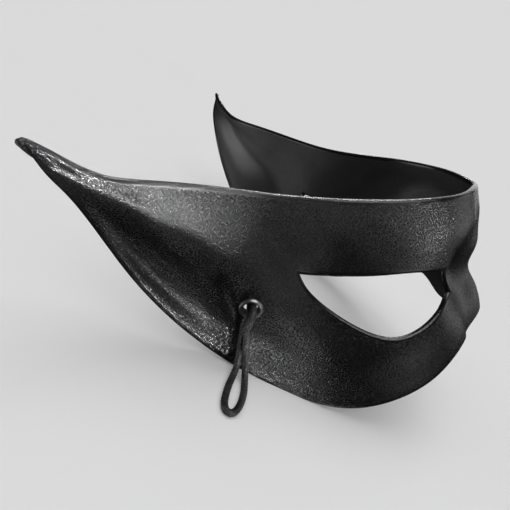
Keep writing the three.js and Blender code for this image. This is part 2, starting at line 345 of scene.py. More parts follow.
@dataclass(frozen=True)
class PebbledLeather:
    """Black pebbled leather: satin grain outside, finer and greyer inside, with burnished edges and painted
    shade in creases.

    Depths and widths are in millimetres. Cells are so many to the metre.
    """

    grain_cells: float = 1450.0
    flesh_cells: float = 1700.0
    grain_depth: float = 0.12
    flesh_depth: float = 0.09
    wander: float = 0.0007
    pore_cells: float = 5200.0
    pore_depth: float = 0.02
    cloud_cells: float = 28.0
    rubbed_width: float = 0.9
    smooth_width: float = 1.4
    smooth_depth: float = 0.4
    colour: Colour = (0.0085, 0.0085, 0.0092, 1.0)
    flesh_colour: Colour = (0.016, 0.016, 0.0172, 1.0)
    edge_colour: Colour = (0.006, 0.006, 0.0064, 1.0)
    cloud_colour: Colour = (0.022, 0.021, 0.021, 1.0)
    cloud_share: float = 0.08
    # Painted shade: the colour that darkens the bottoms of the grain's creases, and how much of it
    crease_shade_colour: Colour = (0.003, 0.003, 0.0032, 1.0)
    crease_shade_share: float = 0.4
    dull: float = 0.25
    flesh_dull: float = 0.5
    edge_dull: float = 0.22
    cloud_dull: float = 0.04
    crease_dull: float = 0.08

    def material(self, effects: SharedEffects) -> Material:
        """Builds the finish.

        The piece gives the distance from its free edges in millimetres as edge_mm, and flesh, which is 1
        on the inner skin.

        Args:
            effects: The shared node groups.

        Returns:
            The material.
        """
        bench = FinishBench("black_leather_grain")
        edge, flesh = bench.value("edge_mm"), bench.value("flesh")
        cells = bench.blend(flesh, self.grain_cells, self.flesh_cells)
        grain = bench.effect(effects.grain, Cells=cells, Wander=self.wander).outputs
        cloud = bench.effect(effects.unevenness, Size=self.cloud_cells).outputs["Amount"]
        rubbed = bench.effect(effects.rubbed_edge, Distance=edge, Width=self.rubbed_width).outputs["Rubbed"]

        depth = bench.blend(flesh, self.grain_depth, self.flesh_depth)
        smooth = bench.remap(edge, 0.0, self.smooth_width, self.smooth_depth, 1.0)
        pebbles = bench.math("MULTIPLY", bench.math("MULTIPLY", grain["Height"], depth), smooth)
        pores = bench.math("MULTIPLY", bench.noise(bench.place, self.pore_cells, 3.0, 0.6), self.pore_depth)
        relief = bench.math("ADD", pebbles, pores)

        skin = bench.tint(flesh, self.colour, self.flesh_colour)
        cloudy = bench.tint(bench.math("MULTIPLY", cloud, self.cloud_share), skin, self.cloud_colour)
        # Painted shade: the bottoms of the grain's creases are darkened towards the crease colour
        share = bench.math("MULTIPLY", grain["Crease"], self.crease_shade_share)
        colour = bench.tint(rubbed, bench.tint(share, cloudy, self.crease_shade_colour), self.edge_colour)

        skin_dull = bench.blend(flesh, self.dull, self.flesh_dull)
        uneven = bench.math("MULTIPLY_ADD", cloud, self.cloud_dull, -self.cloud_dull / 2.0)
        creases = bench.math("MULTIPLY", grain["Crease"], self.crease_dull)
        dull = bench.math("ADD", bench.math("ADD", skin_dull, uneven), creases)
        return bench.finish(colour, bench.blend(rubbed, dull, self.edge_dull), relief, MM, 1.0)


@dataclass(frozen=True)
class DarkNickel:
    """Dark nickel plate with a fine unevenness and a little handling."""

    colour: Colour = (0.34, 0.33, 0.32, 1.0)
    crown_colour: Colour = (0.55, 0.54, 0.52, 1.0)
    worn_least: float = 0.3
    worn_more: float = 0.6
    cloud_cells: float = 260.0
    fine_cells: float = 6500.0
    dull: float = 0.28
    cloud_dull: float = 0.16

    def material(self, effects: SharedEffects) -> Material:
        """Builds the finish. The piece gives crown, which is 1 on top of the flange."""
        bench = FinishBench("dark_nickel_plate")
        cloud = bench.effect(effects.unevenness, Size=self.cloud_cells).outputs["Amount"]
        handled = bench.math("MULTIPLY_ADD", cloud, self.worn_more, self.worn_least)
        worn = bench.math("MULTIPLY", bench.value("crown"), handled)
        colour = bench.tint(worn, self.colour, self.crown_colour)
        dull = bench.math("MULTIPLY_ADD", cloud, self.cloud_dull, self.dull)
        bench.feed(bench.shader.inputs["Metallic"], 1.0)
        return bench.finish(colour, dull, bench.noise(bench.place, self.fine_cells), 0.01 * MM, 0.5)


@dataclass(frozen=True)
class WaxedCord:
    """Black waxed braid: dull yarn with a waxy shine on the crowns of the strands, painted lighter there:
    part wear, part painted highlight.
    """

    colour: Colour = (0.009, 0.009, 0.0094, 1.0)
    # The lighter colour on the strands' crowns: part wear, part painted highlight
    crown_colour: Colour = (0.1, 0.1, 0.1, 1.0)
    cloud_cells: float = 120.0
    yarn_cells: float = 7000.0
    dull: float = 0.53
    crown_shine: float = 0.15

    def material(self, effects: SharedEffects) -> Material:
        """Builds the finish. The piece gives crown, which is 1 on top of a strand and 0 between strands."""
        bench = FinishBench("waxed_braid")
        crown = bench.value("crown")
        cloud = bench.effect(effects.unevenness, Size=self.cloud_cells).outputs["Amount"]
        # Strand crowns are painted lighter where the cloud falls: part wear, part painted highlight on the
        # weave
        colour = bench.tint(bench.math("MULTIPLY", crown, cloud), self.colour, self.crown_colour)
        dull = bench.math("MULTIPLY_ADD", crown, -self.crown_shine, self.dull)
        return bench.finish(colour, dull, bench.noise(bench.place, self.yarn_cells, 3.0, 0.6), 0.05 * MM, 0.6)


@dataclass(frozen=True)
class PhotoCamera:
    """The camera at the photograph's viewing angle, rolled as the photograph is. Its place was fitted."""

    place: Place = (-0.044995, -0.243105, 0.116402)
    target: Place = (-0.02758, -0.07, 0.04602)
    roll: float = 32.46
    lens: float = 32.47
    sensor: float = 36.0

    def build(self) -> None:
        """Makes the scene's camera, which looks from its place to the target, turned by the roll."""
        back = (Vector(self.place) - Vector(self.target)).normalized()
        level = Vector((0.0, 0.0, 1.0)).cross(back).normalized()
        turn = math.radians(self.roll)
        right = level * math.cos(turn) + back.cross(level) * math.sin(turn)
        up = back.cross(right)
        camera = bpy.data.cameras.new("photo_camera")
        camera.lens, camera.sensor_width = self.lens, self.sensor
        camera.clip_start, camera.clip_end = 0.005, 20.0
        holder = stand("photo_camera", camera)
        holder.matrix_world = Matrix.Translation(self.place) @ Matrix((right, up, back)).transposed().to_4x4()
        bpy.context.scene.camera = holder


def direction(azimuth: float, elevation: float) -> Vector:
    """The unit vector that way: azimuth 0 is towards the photograph's side, 90 the way the mask faces."""
    a, e = math.radians(azimuth), math.radians(elevation)
    return Vector((math.sin(a) * math.cos(e), -math.cos(a) * math.cos(e), math.sin(e)))


def hang_lamp(lamp: bpy.types.Light, out: Vector, place: Vector, lit: Collection) -> None:
    """Hangs a lamp that shines against the direction out on these objects alone, and isn't seen itself."""
    holder = stand(lamp.name, lamp)
    holder.matrix_world = Matrix.Translation(place) @ out.to_track_quat("Z", "Y").to_matrix().to_4x4()
    holder.visible_camera = False
    holder.light_linking.receiver_collection = lit


@dataclass(frozen=True)
class SoftLamp:
    """One soft square lamp that shines on the mask."""

    name: str
    azimuth: float
    elevation: float
    distance: float
    size: float
    power: float

    def build(self, lit: Collection) -> None:
        """Places the lamp that far out along its direction, facing the mask's middle."""
        out = direction(self.azimuth, self.elevation)
        lamp = bpy.data.lights.new(self.name, "AREA")
        lamp.shape, lamp.size, lamp.energy = "SQUARE", self.size, self.power
        hang_lamp(lamp, out, out * self.distance + Vector((0.0, 0.0, 0.05)), lit)


@dataclass(frozen=True)
class Spotlight:
    """A soft spotlight that picks out one part of the mask. Its target and reach are in millimetres."""

    name: str
    azimuth: float
    elevation: float
    target: Place
    reach: float
    power: float
    size: float = 0.012
    distance: float = 0.6

    def build(self, lit: Collection) -> None:
        """Places the light that far out from its target, its cone as wide as the reach."""
        out = direction(self.azimuth, self.elevation)
        lamp = bpy.data.lights.new(self.name, "SPOT")
        lamp.energy, lamp.shadow_soft_size, lamp.spot_blend = self.power, self.size, 1.0
        lamp.spot_size = 2.0 * math.atan(self.reach * MM / self.distance)
        hang_lamp(lamp, out, out * self.distance + Vector(self.target) * MM, lit)


@dataclass(frozen=True)
class PaleStudio:
    """A seamless pale floor that rises into a round wall, with lamps over it.

    The lamps' powers started from a program's fit to the photograph's tones in that one view. They were
    then rounded and changed. The sink keeps the floor's own face just under what stands on it.
    """

    floor_radius: float = 1.1
    sweep: float = 0.9
    wall_top: float = 3.0
    flat_rings: tuple[float, ...] = (0.0005, 0.2, 0.4, 0.6, 0.8)
    bend_rings: int = 25
    segments: int = 96
    sink: float = 0.00004
    tone: float = 0.70
    paper: float = 0.78
    shade: float = 0.6
    near: tuple[float, float] = (0.35, 0.85)
    room: float = 0.012
    skies: tuple[Place, ...] = ((8.0, 58.0, 56.0), (160.0, 66.0, 50.0), (-75.0, 54.0, 50.0))
    lamps: tuple[SoftLamp | Spotlight, ...] = (
        SoftLamp("key_lamp", azimuth=57, elevation=5, distance=1.0, size=0.4, power=0.9),
        SoftLamp("high_lamp", azimuth=15, elevation=66, distance=0.9, size=0.5, power=4.0),
        SoftLamp("edge_lamp", azimuth=190, elevation=52, distance=1.1, size=0.1, power=8.0),
        SoftLamp("nose_lamp", azimuth=112, elevation=24, distance=1.0, size=0.5, power=0.75),
        SoftLamp("back_lamp", azimuth=165, elevation=22, distance=1.2, size=0.9, power=3.0),
        SoftLamp("inside_lamp", azimuth=-76, elevation=-30, distance=0.9, size=0.6, power=2.6),
        Spotlight("tip_spot", azimuth=60, elevation=-15, target=(-92, -121, 61), reach=16, power=24.0),
        Spotlight("point_spot", azimuth=75, elevation=-25, target=(-97, -127, 63), reach=10, power=24.0),
        Spotlight("horn_spot", azimuth=52, elevation=5, target=(-85, -116, 59), reach=16, power=20.0),
        Spotlight("ridge_spot", azimuth=68, elevation=24, target=(-75, -107, 57), reach=20, power=13.0),
        Spotlight("top_spot", azimuth=54, elevation=16, target=(-60, -96, 59), reach=25, power=12.0),
        Spotlight("band_spot", azimuth=62, elevation=2, target=(-49, -90, 15), reach=20, power=9.0),
        Spotlight("belly_spot", azimuth=42, elevation=-3, target=(-26, -81, 6), reach=26, power=9.0),
        Spotlight("low_spot", azimuth=27, elevation=-10, target=(4, -78, 3), reach=30, power=5.5),
        Spotlight("panel_spot", azimuth=52, elevation=-45, target=(-30, -83, 36), reach=36, power=3.4,
                  size=0.06),
        Spotlight("brow_spot", azimuth=66, elevation=28, target=(36, -51, 89), reach=27, power=4.5),
        Spotlight("far_spot", azimuth=-56, elevation=42, target=(-66, 98, 45), reach=30, power=12.0),
    )

    def build(self, pieces: list[Object]) -> None:
        """Makes the floor, the room's own light, the lamps on the mask and the soft sky over the floor.

        Args:
            pieces: The mask's own pieces, which the lamps light.
        """
        floor = self._floor()
        world = bpy.data.worlds.new("room")
        world.use_nodes = True
        background = world.node_tree.nodes["Background"].inputs
        background["Color"].default_value, background["Strength"].default_value = WHITE, self.room
        bpy.context.scene.world = world

        on_mask, on_floor = bpy.data.collections.new("lit_mask"), bpy.data.collections.new("lit_floor")
        for piece in pieces:
            on_mask.objects.link(piece)
        on_floor.objects.link(floor)
        for lamp in self.lamps:
            lamp.build(on_mask)
        for azimuth, elevation, angle in self.skies:
            sky, out = bpy.data.lights.new("sky_lamp", "SUN"), direction(azimuth, elevation)
            share = self.shade / len(self.skies)
            sky.angle, sky.energy = math.radians(angle), share * math.pi / (self.paper * out.z)
            hang_lamp(sky, out, out * 2.0, on_floor)

    def _floor(self) -> Object:
        """Rings of points: level, then up round a quarter circle, then upright to the top of the wall.

        Returns:
            The floor, which neither reflects on the mask nor shades anything.
        """
        bend = np.linspace(0.0, np.pi / 2, self.bend_rings)
        flat = np.array(self.flat_rings)
        rise = self.floor_radius + self.sweep * np.sin(bend)
        radius = np.concatenate([flat, rise, rise[-1:]])
        height = np.concatenate([0.0 * flat, self.sweep * (1.0 - np.cos(bend)), [self.wall_top]]) - self.sink
        around = np.linspace(0.0, 2 * np.pi, self.segments, endpoint=False)
        x, y = np.outer(radius, np.cos(around)), np.outer(radius, np.sin(around))
        points = np.stack(np.broadcast_arrays(x, y, height[:, None]), -1).reshape(-1, 3)
        mesh = bpy.data.meshes.new("pale_floor")
        quads = ring_faces(radius.size, around.size)
        mesh.from_pydata(points, [], [*quads.tolist(), list(range(around.size))], shade_flat=False)
        mesh.materials.append(self._paper())
        floor = stand("pale_floor", mesh)
        floor.visible_diffuse = floor.visible_glossy = floor.visible_shadow = False
        return floor

    def _paper(self) -> Material:
        """Pale paper in one even tone, which takes soft shadows near the mask.

        Part of its tone is lit, and so takes shadow, and the rest glows. Away from the mask all of it glows.

        Returns:
            The material.
        """
        bench = FinishBench("pale_paper")
        bench.tree.nodes.remove(bench.shader)
        away = bench.add("VectorMath", {0: bench.place}, operation="LENGTH").outputs["Value"]
        near = bench.remap(away, *self.near, 1.0, 0.0)
        paper = bench.math("MULTIPLY", near, self.paper)
        tone = bench.add("CombineColor", dict.fromkeys(range(3), paper)).outputs[0]
        lit = bench.add("BsdfDiffuse", {"Color": tone}).outputs[0]
        own_share = self.tone - self.shade - self.room * self.paper
        strength = bench.blend(near, self.tone, own_share)
        glow = bench.add("Emission", {"Color": WHITE, "Strength": strength}).outputs[0]
        pale = bench.add("AddShader", {0: lit, 1: glow}).outputs[0]
        bench.feed(bench.tree.nodes["Material Output"].inputs["Surface"], pale)
        return bench.material


class NaturalSpline:
    """A natural cubic spline: the curve of least bending through its points."""

    def __init__(self, places: Array, values: Array) -> None:
        """Solves for the second derivative at every place, which is 0 at both ends."""
        count = len(places)
        step = np.diff(places)
        inner = np.arange(1, count - 1)
        system = np.zeros((count, count))
        system[0, 0] = system[-1, -1] = 1.0
        system[inner, inner - 1] = step[:-1]
        system[inner, inner] = 2.0 * (step[:-1] + step[1:])
        system[inner, inner + 1] = step[1:]
        rise = np.zeros(count)
        rise[1:-1] = 6.0 * np.diff(np.diff(values) / step)
        self.places, self.values, self.step = places, values, step
        self.bends = np.linalg.solve(system, rise)

    def __call__(self, x: Array | float) -> Array:
        """The spline's value at x: the straight mix of both neighbours plus each one's bend times a cubic."""
        x = np.asarray(x, float)
        i = np.clip(np.searchsorted(self.places, x) - 1, 0, len(self.step) - 1)
        h = self.step[i]
        a = (self.places[i + 1] - x) / h
        b = 1.0 - a
        straight = a * self.values[i] + b * self.values[i + 1]
        return straight + ((a**3 - a) * self.bends[i] + (b**3 - b) * self.bends[i + 1]) * h * h / 6.0


@dataclass(frozen=True)
class Patch:
    """A moulded swelling or hollow: its depth outward, and its place and spread along and down the panel."""

    depth: float
    run: float
    spread: float
    height: float
    reach: float

    def at(self, run: Array, height: Array) -> Array:
        """The depth times a bell along the run and a bell down the height."""
        return self.depth * bell(run, self.run, self.spread) * bell(height, self.height, self.reach)


@dataclass(frozen=True)
class Swelling:
    """A moulded line along the panel: its depth, its place and spread down the panel, and its two ends."""

    depth: float
    height: float
    reach: float
    grows: tuple[float, float]
    fades: tuple[float, float]

    def grown(self, run: Array) -> Array:
        """The share of the depth that it has grown to."""
        return ramp(run, *self.grows)

    def left(self, run: Array) -> Array:
        """The share of the depth that is left where it fades."""
        return 1.0 - ramp(run, *self.fades)

    def at(self, run: Array, height: Array) -> Array:
        """The depth times a bell down the height, growing and fading along the run."""
        return self.depth * bell(height, self.height, self.reach) * self.grown(run) * self.left(run)


# Stations along each side panel, from the nose ridge to the horn tip: the share of the way, then the top
# edge and the lower edge in the wearer's frame, each forward, sideways and up from the brow's middle. A
# program fitted them to the outline in the photograph. They were then scaled, and changed in places
STATIONS = (
    (0.000, (0, 0, 0), (17.2, 0, -70)),
    (0.053, (-3, 11, 0.8), (8.6, 15.5, -75.3)),
    (0.106, (-7.7, 21.3, 1.5), (3, 27.3, -75.2)),
    (0.168, (-14.6, 32.6, 1.5), (-3.4, 42.7, -70)),
    (0.256, (-28.8, 45.8, 1.5), (-18.9, 60.3, -78.6)),
    (0.362, (-49.3, 55.3, 1.2), (-43.5, 71.2, -89.1)),
    (0.486, (-73.9, 65.5, 2.1), (-69.3, 74, -91.2)),
    (0.618, (-98.7, 79.7, 5.9), (-99, 78.5, -77.5)),
    (0.742, (-122.3, 92.3, 10.3), (-126.5, 83.7, -56)),
    (0.848, (-140.2, 105.3, 13.7), (-146.9, 98.7, -21.5)),
    (0.936, (-152.3, 120.1, 19.8), (-158.5, 113.6, 8.9)),
    (0.972, (-156.8, 125.1, 24.7), (-160.1, 122, 17.9)),
    (1.000, (-159.8, 131.2, 28.9), (-160.6, 130.3, 26.9)),
)

# Lid heights of the eye opening by share of the way, as shares of the panel's height, carried back onto the
# panel by a program from places picked in the photograph, and then changed
UPPER_LID = (
    (0.120, 0.555), (0.170, 0.505), (0.215, 0.442), (0.262, 0.380), (0.308, 0.346),
    (0.375, 0.334), (0.443, 0.340), (0.495, 0.350), (0.530, 0.355), (0.549, 0.354),
)
LOWER_LID = (
    (0.120, 0.722), (0.160, 0.695), (0.200, 0.656), (0.245, 0.638), (0.288, 0.652), (0.342, 0.658),
    (0.388, 0.629), (0.436, 0.580), (0.479, 0.528), (0.515, 0.470), (0.534, 0.420), (0.549, 0.354),
)


@dataclass
class MouldedSheet:
    """The leather as a surface: u runs from horn tip to horn tip, 0 at the nose, and v down the panel."""

    thickness: float = 2.8
    tip_thinning: float = 0.4
    rest_pitch: float = math.radians(27.3)
    rest_shift: Place = (54.8, 0.0, 113.9)
    eye_inner: float = 0.120
    eye_outer: float = 0.549
    patches: tuple[Patch, ...] = (
        Patch(-11.5, 0.145, 0.078, 0.58, 0.21),
        Patch(-5.2, 0, 0.09, 0.66, 0.15),
        Patch(2, 0.2, 0.16, 0.2, 0.13),
        Patch(-5, 0.52, 0.1, 0.35, 0.22),
        Patch(3, 0.36, 0.16, 0.73, 0.14),
    )
    edge_roll: Swelling = Swelling(2.2, 1.0, 0.28, (0.1, 0.25), (0.48, 0.62))
    edge_length: float = 7.0
    edge_flare: Swelling = Swelling(-3.6, 0.8, 0.12, (0.44, 0.58), (0.74, 0.9))
    horn_ridge: Swelling = Swelling(4.1, 0.4, 0.2, (0.52, 0.74), (0.84, 0.97))
    ridge_left: float = 0.32
    ridge_rise: Place = (0.1, 0.6, 0.8)
    ridge_fall: Place = (0.35, 0.88, 1.0)
    horn_hollow: Swelling = Swelling(-3.0, 0.62, 0.18, (0.52, 0.74), (0.84, 0.94))

    def __post_init__(self) -> None:
        """Carries each edge's splines over the nose to the other side, where sideways changes sign."""
        run = np.array([s[0] for s in STATIONS])
        self.edges: list[list[NaturalSpline]] = []
        for edge in (1, 2):
            values = np.array([s[edge] for s in STATIONS], float)
            mirrored = values[:0:-1] * (1.0, -1.0, 1.0)
            both = np.concatenate([mirrored, values])
            places = np.concatenate([-run[:0:-1], run])
            self.edges.append([NaturalSpline(places, both[:, axis]) for axis in range(3)])
        self.upper_lid = NaturalSpline(*np.array(UPPER_LID).T)
        self.lower_lid = NaturalSpline(*np.array(LOWER_LID).T)

    def edge(self, which: int, u: Array) -> Array:
        """Points of the top edge, which is 0, or the lower edge, which is 1."""
        return np.stack([spline(u) for spline in self.edges[which]], -1)

    def height(self, u: Array) -> Array:
        """The straight distance from the top edge to the lower edge."""
        return np.linalg.norm(self.edge(1, u) - self.edge(0, u), axis=-1)

    def half(self, u: Array) -> Array:
        """Half the leather's thickness, which is shaved down towards the horn tips."""
        return (1.0 - self.tip_thinning * ramp(np.abs(u), 0.88, 1.0)) * self.thickness / 2.0

    def relief(self, u: Array, v: Array) -> Array:
        """How far the moulding stands out: patches, rolled lower edge, and the horn's ridge and hollow."""
        run = np.abs(u)
        out = sum(patch.at(run, v) for patch in self.patches)
        from_edge = 1.0 - np.exp(-(1.0 - v) * self.height(u) / self.edge_length)
        out = out + self.edge_roll.at(run, v) * from_edge + self.edge_flare.at(run, v)
        rise, fall = self.ridge_rise, self.ridge_fall
        sink = fall[0] * ramp(run, *fall[1:]) - rise[0] * ramp(run, *rise[1:])
        ridge = self.horn_ridge
        share = ridge.grown(run) * (self.ridge_left + (1.0 - self.ridge_left) * ridge.left(run))
        out = out + ridge.depth * share * bell(v, ridge.height + sink, ridge.reach)
        return out + self.horn_hollow.at(run, v) * ridge.left(run)

    def face(self, u: Array, v: Array) -> Array:
        """Points of the outer face: the straight line between the edges, moved out level by the relief."""
        step = 1e-3
        along = self.edge(0, u + step) - self.edge(0, u - step)
        outward = unit(np.stack([along[..., 1], -along[..., 0], np.zeros(np.shape(u))], -1))
        top, low = self.edge(0, u), self.edge(1, u)
        return top + (low - top) * v[..., None] + outward * self.relief(u, v)[..., None]

    def normal(self, u: Array, v: Array) -> Array:
        """The outward normal: the cross product of the steps down and along."""
        step = 1e-3
        along = self.face(u + step, v) - self.face(u - step, v)
        down = self.face(u, v + step) - self.face(u, v - step)
        return unit(np.cross(down, along))

    def middle(self, u: Array, v: Array) -> Array:
        """Points halfway through the leather."""
        return self.face(u, v) - self.normal(u, v) * self.half(u)[..., None]

    def turn(self) -> Array:
        """The rotation from the wearer's frame to the way the mask lies, tipped back by the rest pitch."""
        c, s = math.cos(self.rest_pitch), math.sin(self.rest_pitch)
        return np.array([[c, 0.0, -s], [0.0, 1.0, 0.0], [s, 0.0, c]])

    def at_rest(self, points: Array) -> Array:
        """Points carried from the wearer's frame to the way the mask lies."""
        return points @ self.turn().T + self.rest_shift

    def horn_end(self) -> float:
        """Where along the way a horn is too narrow for the sheet, and only its rounded edge is left."""
        run = np.linspace(0.9, 1.0, 2001)
        wide = self.height(run) > 2.0 * self.half(run) + 0.5
        return float(run[wide].max())


@dataclass
class EyeletFit:
    """Where an eyelet sits: its place on the panel and the hole that it needs."""

    sheet: MouldedSheet
    run: float = 0.639
    height: float = 0.605
    hole: float = 4.0
    dimple: float = 0.55
    dimple_inside: float = 0.6
    dimple_start: float = 5.0
    dimple_reach: float = 2.6

    def spot(self, side: Side) -> tuple[Array, Array, Array, Array]:
        """The eyelet's own frame on the resting mask.

        Args:
            side: Which panel it is in.

        Returns:
            Its middle in the leather, and the directions across, out of the leather and up.
        """
        u, v = np.array([side.value * self.run]), np.array([self.height])
        out = (self.sheet.normal(u, v) @ self.sheet.turn().T)[0]
        up = unit(np.array([0.0, 0.0, 1.0]) - out * out[2])
        return self.sheet.at_rest(self.sheet.middle(u, v))[0], np.cross(out, up), out, up


@dataclass
class MaskShell:
    """The leather as one closed piece: an outer and an inner skin joined by rounded edges."""

    sheet: MouldedSheet
    fit: EyeletFit
    columns: tuple[int, ...] = (36, 48, 62, 76, 40)
    column_marks: tuple[float, float] = (0.3, 0.86)
    rows: tuple[int, int, int] = (26, 6, 44)
    row_bunching: float = 0.6
    corner_fall: float = 0.16
    rim_steps: int = 6
    hand_work: float = 0.18
    hand_work_margin: tuple[float, float] = (1.0, 12.0)
    hole_snap: float = 0.62
    hole_bulge: float = 0.02
    hole_edge_mm: float = 3.0
    panel_reach: float = 8.0
    batches: int = 24

    def column_places(self) -> Array:
        """Column places from tip to tip, with columns on both corners of each eye."""
        s = self.sheet
        eye_middle, horn_start = self.column_marks
        marks = (0.0, s.eye_inner, eye_middle, s.eye_outer, horn_start, s.horn_end())
        parts = [np.linspace(a, b, n, endpoint=False) for a, b, n in zip(marks, marks[1:], self.columns)]
        side = np.concatenate([*parts, [marks[-1]]])
        return np.concatenate([-side[:0:-1], side])

    def lids(self, u: Array) -> tuple[Array, Array]:
        """Heights of the upper and the lower lid, which meet beyond the eye's outer corner."""
        s, run = self.sheet, np.abs(u)
        inside = np.clip(run, s.eye_inner, s.eye_outer)
        beyond = s.upper_lid(s.eye_outer) + self.corner_fall * ramp(run, s.eye_outer, 1.0)
        past = run > s.eye_outer - 1e-9
        return np.where(past, beyond, s.upper_lid(inside)), np.where(past, beyond, s.lower_lid(inside))

    def band(self, u: Array, start: Array, end: Array, rows: int) -> tuple[Array, Array]:
        """A strip of the sheet between two heights, its rows closer together near both of them.

        Args:
            u: The strip's columns.
            start: The height of its first row, at each column.
            end: The height of its last row, at each column.
            rows: How many rows of faces it has.

        Returns:
            The (u, v) of its points, and its faces as rows of four point numbers.
        """
        k = np.linspace(0.0, 1.0, rows + 1)
        k = k - self.row_bunching * np.sin(2 * np.pi * k) / (2 * np.pi)
        v = start[:, None] + (end - start)[:, None] * k
        spots = np.stack([np.repeat(u[:, None], k.size, 1), v], -1).reshape(-1, 2)
        c, r = np.meshgrid(np.arange(u.size - 1), np.arange(rows), indexing="ij")
        at = (c * k.size + r).ravel()
        return spots, np.stack([at, at + k.size, at + k.size + 1, at + 1], 1)

    def layout(self) -> tuple[Array, Array]:
        """All strips in one, with the points that they share merged.

        Returns:
            The (u, v) of the points, and the faces as rows of four point numbers.
        """
        s, u = self.sheet, self.column_places()
        top = s.half(u) / s.height(u)
        upper, lower = self.lids(u)
        bridge = np.abs(u) <= s.eye_inner + 1e-9
        strips = [
            self.band(u, top, upper, self.rows[0]),
            self.band(u[bridge], upper[bridge], lower[bridge], self.rows[1]),
            self.band(u, lower, 1.0 - top, self.rows[2]),
        ]
        starts = np.cumsum([0, *(len(spots) for spots, _ in strips)])
        spots = np.concatenate([spots for spots, _ in strips])
        quads = np.concatenate([faces + start for (_, faces), start in zip(strips, starts)])
        _, first, number = np.unique(np.round(spots, 7), axis=0, return_index=True, return_inverse=True)
        return spots[first], number.ravel()[quads]

    def around_holes(self, middle: Array, quads: Array) -> tuple[Array, Array, Array, Array]:
        """Makes room for both eyelets.

        Points close to a hole's border are moved onto it, and the faces inside it are dropped.

        Args:
            middle: The points halfway through the leather, on the resting mask.
            quads: The faces.

        Returns:
            The points, the faces left, each point's distance from the nearer eyelet, and whether it is on
            the border of a hole.
        """
        nearest = np.full(len(middle), np.inf)
        on_hole = np.zeros(len(middle), bool)
        for side in Side:
            centre, across, out, up = self.fit.spot(side)
            x, y = (middle - centre) @ across, (middle - centre) @ up
            away = np.hypot(x, y)
            same_side = np.abs((middle - centre) @ out) < self.panel_reach
            near = same_side & (np.abs(away - self.fit.hole) < self.hole_snap)
            stretch = np.where(near, self.fit.hole / np.maximum(away, 0.1), 1.0)
            middle = middle + ((stretch - 1.0) * x)[:, None] * across + ((stretch - 1.0) * y)[:, None] * up
            on_hole |= near
            away = np.where(near, self.fit.hole, away)
            nearest = np.where(same_side, np.minimum(nearest, away), nearest)
        inside = (nearest < self.fit.hole - 1e-6) | on_hole
        return middle, quads[~inside[quads].all(axis=1)], nearest, on_hole

    def build(self, leather: Material) -> Object:
        """Makes the shell.

        Each point of the middle surface gives one point on each skin, half the thickness out and in along the
        normal. A free edge gets a half circle of points about it, turned from one skin to the other.
        """
        s = self.sheet
        spots, quads = self.layout()
        u, v = spots[:, 0], spots[:, 1]
        normal = s.normal(u, v) @ s.turn().T
        middle, quads, from_eyelet, on_hole = self.around_holes(s.at_rest(s.middle(u, v)), quads)
        half = s.half(u)

        start, end = quads.ravel(), np.roll(quads, -1, axis=1).ravel()
        count = len(spots)
        free = ~np.isin(start * count + end, end * count + start)
        start, end = start[free], end[free]
        after, before = np.full(count, -1), np.full(count, -1)
        after[start], before[end] = end, start
        rim = np.flatnonzero(after >= 0)
        along = middle[after[rim]] - middle[before[rim]]
        off = -unit(np.cross(along, normal[rim]))

        used = np.unique(quads)
        edge_mm = np.full(count, np.inf)
        border = middle[rim[~on_hole[rim]]].astype(np.float32)
        for part in np.array_split(used, self.batches):
            gap = np.linalg.norm(middle[part].astype(np.float32)[:, None] - border[None], axis=-1)
            edge_mm[part] = gap.min(axis=1)

        wave = np.sin(31.0 * u + 2.0 * np.sin(9.0 * v)) * np.sin(11.0 * v + 17.0 * u)
        wave = wave + 0.6 * np.sin(57.0 * u - 23.0 * v)
        swell = self.hand_work * wave * ramp(edge_mm, *self.hand_work_margin)
        flat = self.fit.dimple_start
        away = np.maximum(from_eyelet, flat)
        pinch = self.fit.dimple * bell(away, flat, self.fit.dimple_reach)
        outer = middle + normal * (half + swell - pinch)[:, None]
        inner = middle + normal * (-half + swell + self.fit.dimple_inside * pinch)[:, None]

        turns = np.linspace(np.pi / 2, -np.pi / 2, self.rim_steps + 1)[1:-1]
        bulge = np.where(on_hole[rim], self.hole_bulge, 1.0)
        lift = 0.5 * np.linalg.norm(outer[rim] - inner[rim], axis=1)
        centre = 0.5 * (outer[rim] + inner[rim])
        rims = []
        for t in turns:
            outward = off * (lift * bulge * math.cos(t))[:, None]
            rims.append(centre + outward + normal[rim] * (lift * math.sin(t))[:, None])
        points = np.concatenate([outer, inner, *rims])

        number = np.full(count, -1)
        number[rim] = np.arange(rim.size)
        firsts = [2 * count + k * rim.size for k in range(turns.size)]
        steps = [start, *(first + number[start] for first in firsts), start + count]
        ends = [end, *(first + number[end] for first in firsts), end + count]
        walls = [np.stack([a, b, d, c], 1) for a, b, c, d in zip(steps, ends, steps[1:], ends[1:])]
        faces = np.concatenate([quads[:, ::-1], quads + count, *walls])

        turned = np.repeat(0.5 - 0.5 * np.sin(turns), rim.size)
        flesh = np.concatenate([np.zeros(count), np.ones(count), turned])
        rim_edge = np.where(on_hole[rim], self.hole_edge_mm, 0.0)
        edge = np.concatenate([edge_mm, edge_mm, np.tile(rim_edge, turns.size)])
        kept, faces = np.unique(faces, return_inverse=True)
        piece = make_piece(
            "leather_shell", on_ground(points[kept]), faces.reshape(-1, 4), leather,
            {"edge_mm": edge[kept], "flesh": flesh[kept]},
        )
        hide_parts("mask_shell")
        return piece


